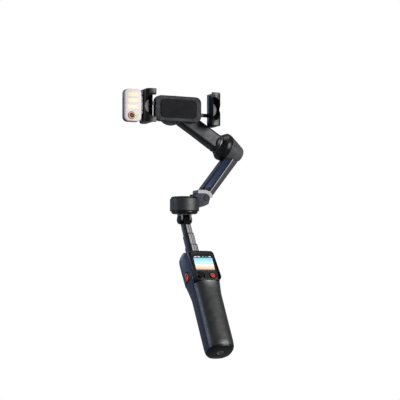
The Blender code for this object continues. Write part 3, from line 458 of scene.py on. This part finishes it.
def even_shading():
    """Node group that joins split corners and smooths every edge flatter than an angle."""
    group = bpy.data.node_groups.new("even_shading", "GeometryNodeTree")
    group.interface.new_socket("Geometry", in_out="INPUT", socket_type="NodeSocketGeometry")
    group.interface.new_socket("Geometry", in_out="OUTPUT", socket_type="NodeSocketGeometry")
    start = group.nodes.new("NodeGroupInput")
    merge = group.nodes.new("GeometryNodeMergeByDistance")
    merge.inputs["Distance"].default_value = JOIN_DISTANCE
    faces = group.nodes.new("GeometryNodeSetShadeSmooth")
    edges = group.nodes.new("GeometryNodeSetShadeSmooth")
    edges.domain = "EDGE"
    angle = group.nodes.new("GeometryNodeInputMeshEdgeAngle")
    flat = group.nodes.new("FunctionNodeCompare")
    flat.data_type = "FLOAT"
    flat.operation = "LESS_THAN"
    flat.inputs["B"].default_value = SMOOTH_ANGLE
    end = group.nodes.new("NodeGroupOutput")
    group.links.new(start.outputs[0], merge.inputs["Geometry"])
    group.links.new(merge.outputs["Geometry"], faces.inputs["Geometry"])
    group.links.new(faces.outputs["Geometry"], edges.inputs["Geometry"])
    group.links.new(angle.outputs["Unsigned Angle"], flat.inputs["A"])
    group.links.new(flat.outputs["Result"], edges.inputs["Shade Smooth"])
    group.links.new(edges.outputs["Geometry"], end.inputs[0])
    return group


def soften(node, width, group):
    """Join, flatten and round the edges of a CAD node with modifiers only."""
    step = node.modifiers.new("joined", "NODES")
    step.node_group = group
    flat = node.modifiers.new("flat_faces", "DECIMATE")
    flat.decimate_type = "DISSOLVE"
    flat.angle_limit = radians(0.6)
    edges = node.modifiers.new("edges", "BEVEL")
    edges.width = width
    edges.segments = 3
    edges.limit_method = "ANGLE"
    edges.angle_limit = radians(34.0)
    edges.use_clamp_overlap = True
    edges.harden_normals = True


def paint(node_name, finish):
    """Give a CAD node one material on every slot."""
    node = NODES[node_name]
    if not node.material_slots:
        node.data.materials.append(finish)
    for slot in node.material_slots:
        slot.link = "OBJECT"
        slot.material = finish


def piece(name, bm, finish, body, matrix=Matrix.Identity(4)):
    """A new visible piece in the row frame, riding on a body."""
    bmesh.ops.transform(bm, matrix=matrix, verts=bm.verts)
    bmesh.ops.recalc_face_normals(bm, faces=bm.faces)
    mesh = bpy.data.meshes.new(name)
    bm.to_mesh(mesh)
    bm.free()
    mesh.shade_smooth()
    mesh.set_sharp_from_angle(angle=radians(35.0))
    mesh.materials.append(finish)
    made = bpy.data.objects.new(name, mesh)
    bpy.context.scene.collection.objects.link(made)
    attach(made, body)
    return made


def rounded_plate(width, height, radius, thickness, steps=6):
    """A thin plate in XZ with round corners, its front towards -Y and its back at Y 0."""
    bm = bmesh.new()
    rings = []
    for depth, inset in ((0.0, 0.0), (-thickness * 0.6, 0.0), (-thickness, thickness * 0.5)):
        ring = []
        for quarter in range(4):
            middle_x = (width / 2 - radius) * (1 if quarter in (0, 3) else -1)
            middle_z = (height / 2 - radius) * (1 if quarter in (0, 1) else -1)
            for step in range(steps + 1):
                angle = pi / 2 * (quarter + step / steps)
                reach = radius - inset
                ring.append(bm.verts.new((middle_x + reach * cos(angle), depth,
                                          middle_z + reach * sin(angle))))
        rings.append(ring)
    for low, high in zip(rings, rings[1:]):
        for index in range(len(low)):
            following = (index + 1) % len(low)
            bm.faces.new((low[index], low[following], high[following], high[index]))
    bm.faces.new(rings[0])
    bm.faces.new(rings[-1][::-1])
    return bm


def lathe(profile, steps=40):
    """A solid or ring turned round Y: profile of (radius, y) pairs, closed along its loop."""
    bm = bmesh.new()
    rows = []
    for step in range(steps):
        angle = 2 * pi * step / steps
        rows.append([bm.verts.new((r * cos(angle), y, r * sin(angle))) for r, y in profile])
    for index, row in enumerate(rows):
        following = rows[(index + 1) % steps]
        for k in range(len(profile)):
            nxt = (k + 1) % len(profile)
            bm.faces.new((row[k], following[k], following[nxt], row[nxt]))
    bmesh.ops.remove_doubles(bm, verts=bm.verts, dist=0.001 * MM)
    return bm


def flat_ring(outer, inner, thickness):
    """A thin ring in XZ, front towards -Y, back slightly sunk behind Y 0."""
    sink = 0.1 * MM
    return lathe([(inner, sink), (inner, -thickness * 0.7), (inner + thickness * 0.4, -thickness),
                  (outer - thickness * 0.4, -thickness), (outer, -thickness * 0.7), (outer, sink)])


def helix(radius, depth, pitch, turns, steps=24):
    """A screw thread's ridge round Z from Z 0 upwards, pointing inwards."""
    bm = bmesh.new()
    sections = []
    for step in range(int(turns * steps) + 1):
        angle = 2 * pi * step / steps
        rise = pitch * step / steps
        section = []
        for r, z in ((radius, -0.42 * pitch), (radius - depth, 0.0), (radius, 0.42 * pitch)):
            section.append(bm.verts.new((r * cos(angle), r * sin(angle), rise + z)))
        sections.append(section)
    for low, high in zip(sections, sections[1:]):
        for k in range(3):
            bm.faces.new((low[k], low[(k + 1) % 3], high[(k + 1) % 3], high[k]))
    bm.faces.new(sections[0])
    bm.faces.new(sections[-1][::-1])
    return bm


def handle_box(name):
    """Low and high corners of a CAD node along the handle's own axes."""
    inward = HANDLE.inverted()
    points = [inward @ v.co for v in NODES[name].data.vertices]
    low = Vector([min(p[k] for p in points) for k in range(3)])
    high = Vector([max(p[k] for p in points) for k in range(3)])
    return low, high


# --- scene ---------------------------------------------------------------------

def finishes():
    """Every material by short name."""
    return {
        "navy": flaked("navy_paint", (0.026, 0.046, 0.108), (0.048, 0.078, 0.165)),
        "arm_navy": flaked("arm_navy_paint", (0.017, 0.030, 0.076), (0.032, 0.052, 0.120),
                           foot=JOINTS["arm_fold"]["pos_m"][2] + ARM_FOOT_BAND),
        "black": moulded("black_satin", (0.004, 0.004, 0.0045), 0.31, specular=0.38, strength=0.08),
        "matt": moulded("matt_black", (0.009, 0.010, 0.014), 0.50, specular=0.22, strength=0.10),
        "grip": moulded("grip_satin", (0.006, 0.006, 0.0065), 0.37, specular=1.0, strength=0.08),
        "motor": moulded("motor_satin", (0.010, 0.010, 0.011), 0.48, specular=0.85, strength=0.04),
        "dusk": moulded("dusk_black", (0.014, 0.017, 0.032), 0.48, specular=0.25, strength=0.10),
        "graphite": moulded("graphite_paint", (0.017, 0.017, 0.019), 0.38, metallic=0.3, grain=3600.0,
                            strength=0.12),
        "silver": brushed("silver_trim", (0.15, 0.15, 0.158), (1, 12, 1), 0.46),
        "steel": brushed("steel_tube", (0.34, 0.34, 0.35), (6, 6, 1), 0.28),
        # painted reflection: pale rails that make the dark rod's front and back look lit
        "rail": painted_rail_reflection("drawn_aluminium"),
        "ring": moulded("copper_ring", (0.34, 0.10, 0.04), 0.36, spread=0.12, metallic=0.4),
        # painted highlight: the pale lit side of the tracker's lens ring
        "cream": moulded("cream_ring", (0.62, 0.42, 0.28), 0.4, spread=0.1),
        "rubber": moulded("soft_rubber", (0.012, 0.012, 0.013), 0.78, specular=0.15, grain=2600.0,
                          strength=0.7),
        "orange": moulded("orange_control", (0.80, 0.10, 0.022), 0.34, spread=0.08, coat=0.3),
        "red": moulded("record_red", (0.62, 0.03, 0.02), 0.30, spread=0.08, coat=0.3),
        "panel": lit_panel("frosted_light"),
        "glass": glass("dark_glass"),
        "lens": glass("lens_glass", (0.004, 0.003, 0.003), 0.26, 0.1),
        "copper": wound("copper_windings", "Z"),
        "board": circuit("circuit_board"),
        "battery": moulded("battery_sleeve", (0.05, 0.10, 0.26), 0.3, coat=0.4),
        "brass": brushed("brass_gear", (0.72, 0.52, 0.22), (1, 10, 1), 0.28),
        # painted sheen: the grey stands in for the highlights on the elbow's black cap
        "facet": moulded("facet_grey", (0.15, 0.15, 0.155), 0.34, spread=0.2, metallic=0.6,
                         strength=0.1),
        # grey arm cover, with a painted highlight along its ridge and painted shade on its inner side
        "cover": ribbed("ribbed_cover", (0.12, 0.12, 0.124), (0.62, 0.62, 0.63), (0.02, 0.02, 0.022),
                        (0, -ARM_LEAN, 0)),
    }


FINISH_OF_SLOT = {
    "navy_shell": "navy", "black_shell": "black", "graphite_metal": "graphite", "silver_metal": "silver",
    "steel": "steel", "copper_coil": "copper", "brass": "brass", "rubber": "rubber",
    "orange_plastic": "orange", "frosted_panel": "panel", "dark_glass": "glass",
    "circuit_board": "board", "battery_wrap": "battery",
}
FINISH_OF_NODE = {
    "rod_stage_lower": "black", "rod_stage_middle": "black", "rod_stage_upper": "black",
    "elbow_housing": "black", "base_cap": "black", "elbow_cap": "facet", "pan_housing": "motor",
    "hinge_pin": "matt", "clamp_body": "matt", "neck_pin": "matt", "hinge_lug": "dusk",
    "arm_inner_cover": "arm_navy", "arm_outer_cover": "cover", "grip_front_cover": "grip",
    "tracker_lens": "lens", "tracker_ring": "ring", "thread_insert": "steel",
}
SMALL_NODES = ("joystick", "joystick_ring", "tracker_lens", "tracker_ring", "remote_side_button",
               "sync_pinion", "hinge_pin", "neck_pin", "usb_port", "dock_window", "thread_insert",
               "rod_stage_lower", "rod_stage_middle", "rod_stage_upper", "rod_outer_tube",
               "left_jaw_pad", "right_jaw_pad", "clamp_pad", "light_diffuser", "elbow_flange")


def dress_nodes(look):
    """Materials and softened edges on every CAD node."""
    group = even_shading()
    slot_of = {row["node"]: row["material_slot"] for row in frame["record"]["subparts"]}
    for name, node in NODES.items():
        paint(name, look[FINISH_OF_NODE.get(name, FINISH_OF_SLOT[slot_of[name]])])
        width = SMALL_EDGE_WIDTH if name in SMALL_NODES else EDGE_WIDTHS.get(name, EDGE_WIDTH)
        soften(node, width * MM, group)


def add_screen():
    """Picture and status marks on the remote's screen."""
    low, high = handle_box("remote_display")
    middle = (low + high) / 2
    width, height = high.x - low.x - 1.6 * MM, high.z - low.z
    base = HANDLE_UP.dot(HANDLE @ middle)
    picture = landscape("screen_picture", base - height * 0.40, base + height * 0.28)
    place = HANDLE @ Matrix.Translation((0, low.y - SCREEN_LIFT, middle.z - 1.0 * MM))
    piece("screen_picture", rounded_plate(width, height * 0.74, 0.3 * MM, 0.05 * MM), picture,
          "remote", place)
    top = middle.z + height * 0.40
    for index, (x, wide, tint) in enumerate(STATUS_MARKS):
        place = HANDLE @ Matrix.Translation((x * MM, low.y - SCREEN_LIFT, top))
        piece(f"status_mark_{index}", rounded_plate(wide * MM, 0.9 * MM, 0.3 * MM, 0.05 * MM),
              glowing(f"status_mark_{index}", tint, 0.5), "remote", place)


def add_remote_details(look):
    """Ring and red dot on the record button, and raised grip rings on the stick's cap."""
    low, high = handle_box("record_button")
    middle = (low + high) / 2
    front = HANDLE @ Matrix.Translation((middle.x, low.y, middle.z))
    piece("record_ring", flat_ring(2.7 * MM, 2.0 * MM, 0.12 * MM), look["orange"], "record_button",
          front)
    dot = lathe([(0.0, 0.1 * MM), (0.0, -0.25 * MM), (0.8 * MM, -0.2 * MM), (1.1 * MM, -0.05 * MM),
                 (1.1 * MM, 0.1 * MM)], 28)
    piece("record_dot", dot, look["red"], "record_button", front)
    low, high = handle_box("joystick")
    middle = (low + high) / 2
    reach = (high.x - low.x) / 2
    front = HANDLE @ Matrix.Translation((middle.x, low.y + 0.35 * MM, middle.z))
    for index, share in enumerate(STICK_RINGS):
        piece(f"stick_ring_{index}", flat_ring(reach * share, reach * share - 0.35 * MM, 0.22 * MM),
              look["rubber"], "joystick", front)


def add_thread(look):
    """Thread ridge inside the tripod insert's bore."""
    low, high = handle_box("thread_insert")
    place = HANDLE @ Matrix.Translation(((low.x + high.x) / 2, (low.y + high.y) / 2, low.z + 1.0 * MM))
    ridge = helix(THREAD_RADIUS, THREAD_DEPTH, THREAD_PITCH, THREAD_TURNS)
    piece("tripod_thread", ridge, look["steel"], "handle", place)


def facing(direction, at):
    """Places a piece made with its front towards -Y so that it faces a direction, at a point."""
    turn = Vector((0, -1, 0)).rotation_difference(Vector(direction)).to_matrix().to_4x4()
    return Matrix.Translation(at) @ turn


def add_seam_gasket(look):
    """Dark gasket in the seam between head shell and grip, round the back and short of the rocker."""
    rim = handle_box("grip_rear_shell")[1]
    low_z, high_z = rim.z + SEAM_PLAY, handle_box("head_shell")[0].z - SEAM_PLAY
    bm = bmesh.new()
    sections = []
    for step in range(SEAM_STEPS + 1):
        angle = radians(SEAM_START + (SEAM_END - SEAM_START) * step / SEAM_STEPS)
        across = abs(cos(angle)) ** SEAM_POWER * (1 if cos(angle) > 0 else -1)
        along = sin(angle) ** SEAM_POWER
        section = []
        for inset, z in ((SEAM_OUTER, low_z), (SEAM_INNER, low_z), (SEAM_INNER, high_z),
                         (SEAM_OUTER, high_z)):
            section.append(bm.verts.new(((rim.x - inset) * across, (rim.y - inset) * along, z)))
        sections.append(section)
    for low, high in zip(sections, sections[1:]):
        for k in range(4):
            bm.faces.new((low[k], low[(k + 1) % 4], high[(k + 1) % 4], high[k]))
    bm.faces.new(sections[0])
    bm.faces.new(sections[-1][::-1])
    piece("seam_gasket", bm, look["rubber"], "handle", HANDLE)


def add_neck_buffer(look):
    """Rubber buffer in the top of the neck's slot, just clear of the turning tongue."""
    low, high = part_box("neck_bracket")
    roof = ((low.x + high.x) / 2, (low.y + high.y) / 2, high.z - 0.9 * MM)
    buffer = rounded_plate(8.4 * MM, 10.4 * MM, 0.8 * MM, 0.62 * MM, 3)
    piece("neck_buffer", buffer, look["rubber"], "neck", facing((0, 0, -1), roof))


def add_rod_rails(look):
    """Raised rails with dark grooves between them, on the front and back of each stage; the rails' pale colour is
    a painted reflection on the dark rod.
    """
    for stage in ("lower", "middle", "upper"):
        low, high = handle_box(f"rod_stage_{stage}")
        length, middle_z = high.z - low.z - 2 * MM, (high.z + low.z) / 2
        for index, (left, right) in enumerate(RAIL_SPANS):
            width = (right - left) * MM
            x = (left + right) / 2 * MM
            for side, y, turn in (("front", low.y, 0.0), ("back", high.y, pi)):
                place = HANDLE @ Matrix.Translation((x, y, middle_z)) @ Matrix.Rotation(turn, 4, "Z")
                rail = rounded_plate(width, length, 0.4 * MM, 0.15 * MM, 3)
                piece(f"rail_{stage}_{side}_{index}", rail, look["rail"], f"rod_{stage}",
                      place)


def add_cap_details(look):
    """Rings on the motor caps and two small dark dots on the elbow, painted shade standing for its notches."""
    low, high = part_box("pan_cap")
    top = ((low.x + high.x) / 2, (low.y + high.y) / 2, high.z)
    piece("pan_cap_ring", flat_ring(10.6 * MM, 9.8 * MM, 0.15 * MM), look["graphite"], "pan_head",
          facing((0, 0, 1), top))
    low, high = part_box("roll_cap")
    back = ((low.x + high.x) / 2, high.y, (low.z + high.z) / 2)
    piece("roll_cap_ring", flat_ring(10.6 * MM, 9.8 * MM, 0.15 * MM), look["silver"], "link",
          facing((0, 1, 0), back))
    axis = Vector(JOINTS["tilt_turn"]["axis"])
    origin = Vector(JOINTS["tilt_turn"]["pos_m"])
    across = Vector((axis.z, 0, -axis.x))
    outward = (across * NOTCH_ACROSS + Vector((0, NOTCH_BACK, 0))).normalized()
    # painted shade: dark dots standing for the elbow's small notches
    for index, (along, reach) in enumerate(NOTCH_SHADES):
        cover = lathe([(0.0, 0.3 * MM), (0.0, -0.2 * MM), (0.8 * MM, -0.2 * MM), (1.1 * MM, -0.05 * MM),
                       (1.1 * MM, 0.3 * MM)], 20)
        piece(f"notch_shade_{index}", cover, look["rubber"], "arm",
              facing(outward, origin + axis * along + outward * reach))


def add_jaw_ribs(look):
    """Grip ribs across both jaw pads."""
    for name, side in (("left_jaw", 1), ("right_jaw", -1)):
        low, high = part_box(f"{name}_pad")
        face_x = high.x if side > 0 else low.x
        length = high.y - low.y - 2 * MM
        for index in range(JAW_RIBS):
            z = low.z + (high.z - low.z) * (index + 1) / (JAW_RIBS + 1)
            place = facing((side, 0, 0), (face_x, (low.y + high.y) / 2, z))
            rib = rounded_plate(length, 1.2 * MM, 0.5 * MM, 0.3 * MM, 3)
            piece(f"{name}_rib_{index}", rib, look["rubber"], name, place)


def add_charge_lights():
    """Three green lights and a pale bar on the dock's window, behind the remote."""
    low, high = handle_box("dock_window")
    middle_z = (low.z + high.z) / 2
    green = glowing("charge_light", (0.10, 0.75, 0.20), 1.4)
    pale = glowing("dock_mark", (0.75, 0.76, 0.78), 0.6)
    for index, x in enumerate(CHARGE_LIGHTS):
        place = HANDLE @ Matrix.Translation((x * MM, low.y - WINDOW_LIFT, middle_z - 1.4 * MM))
        piece(f"charge_light_{index}", rounded_plate(2.0 * MM, 1.6 * MM, 0.7 * MM, 0.08 * MM), green,
              "handle", place)
    place = HANDLE @ Matrix.Translation((0, low.y - WINDOW_LIFT, middle_z + 2.2 * MM))
    piece("dock_mark", rounded_plate(9.0 * MM, 0.9 * MM, 0.4 * MM, 0.08 * MM), pale, "handle",
          place)


def add_tracker_details(look):
    """Green status light beside the tracker's lens, and a pale ring round the lens: a painted highlight on the
    lens ring.
    """
    low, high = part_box("tracker_ring")
    panel_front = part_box("light_diffuser")[0].y
    place = Matrix.Translation((high.x + 2.9 * MM, panel_front - WINDOW_LIFT, (low.z + high.z) / 2))
    piece("tracker_light", rounded_plate(3.4 * MM, 3.4 * MM, 1.6 * MM, 0.15 * MM),
          glowing("tracker_light", (0.20, 0.58, 0.20), 0.5), "light", place)
    # painted highlight as a pale ring inside the lens ring
    front = Matrix.Translation(((low.x + high.x) / 2, low.y + 0.05 * MM, (low.z + high.z) / 2))
    piece("tracker_inner_ring", flat_ring(3.5 * MM, 2.75 * MM, 0.12 * MM), look["cream"], "light",
          front)


def add_camera():
    """Camera at the photograph's angle; returns what it aims at and its own axes."""
    a, e = CAMERA_AZIMUTH, CAMERA_ELEVATION
    back = Vector((sin(a) * cos(e), -cos(a) * cos(e), sin(e)))
    right = Vector((cos(a), sin(a), 0))
    up = back.cross(right)
    target = PAN_CENTER + right * AIM_RIGHT + up * AIM_UP
    data = bpy.data.cameras.new("camera")
    data.lens = CAMERA_LENS
    data.sensor_width = SENSOR_WIDTH
    camera = bpy.data.objects.new("camera", data)
    bpy.context.scene.collection.objects.link(camera)
    camera.location = target + back * CAMERA_DISTANCE
    camera.rotation_mode = "QUATERNION"
    camera.rotation_quaternion = (-back).to_track_quat("-Z", "Y")
    bpy.context.scene.camera = camera
    return target, right, up, back


def area_light(name, location, target, size, energy, color=(1, 1, 1)):
    """A soft rectangular light aimed at a point."""
    data = bpy.data.lights.new(name, "AREA")
    data.shape = "RECTANGLE"
    data.size, data.size_y = size
    data.energy = energy
    data.color = color
    lamp = bpy.data.objects.new(name, data)
    bpy.context.scene.collection.objects.link(lamp)
    lamp.location = location
    lamp.rotation_mode = "QUATERNION"
    lamp.rotation_quaternion = (Vector(target) - Vector(location)).to_track_quat("-Z", "Y")


def add_studio(target, right, up, back):
    """White surroundings, a pale floor and soft lights."""
    bpy.context.scene.view_settings.view_transform = "Standard"
    world = bpy.data.worlds.new("studio")
    bpy.context.scene.world = world
    world.use_nodes = True
    tree = world.node_tree
    shown = tree.nodes["Background"]
    shown.inputs["Color"].default_value = (1, 1, 1, 1)
    lighting = tree.nodes.new("ShaderNodeBackground")
    lighting.inputs["Color"].default_value = WORLD_TINT
    lighting.inputs["Strength"].default_value = WORLD_STRENGTH
    path = tree.nodes.new("ShaderNodeLightPath")
    choose = tree.nodes.new("ShaderNodeMixShader")
    tree.links.new(path.outputs["Is Camera Ray"], choose.inputs["Fac"])
    tree.links.new(lighting.outputs["Background"], choose.inputs[1])
    tree.links.new(shown.outputs["Background"], choose.inputs[2])
    tree.links.new(choose.outputs["Shader"], tree.nodes["World Output"].inputs["Surface"])

    bm = bmesh.new()
    bmesh.ops.create_circle(bm, cap_ends=True, segments=96, radius=FLOOR_RADIUS)
    mesh = bpy.data.meshes.new("floor")
    bm.to_mesh(mesh)
    bm.free()
    floor = bpy.data.objects.new("floor", mesh)
    bpy.context.scene.collection.objects.link(floor)
    floor.location = (0, 0, cad_box[0].z - FLOOR_DROP)
    made, _, shader = blank("pale_floor")
    shader.inputs["Base Color"].default_value = (FLOOR_GREY, FLOOR_GREY, FLOOR_GREY, 1)
    shader.inputs["Emission Color"].default_value = (1, 1, 1, 1)
    shader.inputs["Emission Strength"].default_value = FLOOR_GLOW
    shader.inputs["Roughness"].default_value = 0.9
    mesh.materials.append(made)
    floor.visible_diffuse = False
    floor.visible_glossy = False

    area_light("key", target + right * 1.0 + up * 0.35 + back * 0.75, target, (0.7, 0.9), 17.0)
    area_light("fill", target - right * 1.2 + up * 0.3 + back * 0.2, target, (0.3, 0.9), 3.0,
               (0.66, 0.80, 1.0))
    area_light("top", target + up * 1.2 - back * 0.15, target, (0.8, 0.5), 3.5)
    area_light("rim", target - right * 0.8 + up * 0.3 - back * 0.9, target, (0.3, 0.8), 1.3,
               (0.50, 0.66, 1.0))


def main():
    """Materials, the details that CAD leaves out, camera and studio."""
    look = finishes()
    dress_nodes(look)
    add_screen()
    add_remote_details(look)
    add_thread(look)
    add_seam_gasket(look)
    add_neck_buffer(look)
    add_rod_rails(look)
    add_cap_details(look)
    add_jaw_ribs(look)
    add_charge_lights()
    add_tracker_details(look)
    add_studio(*add_camera())


main()
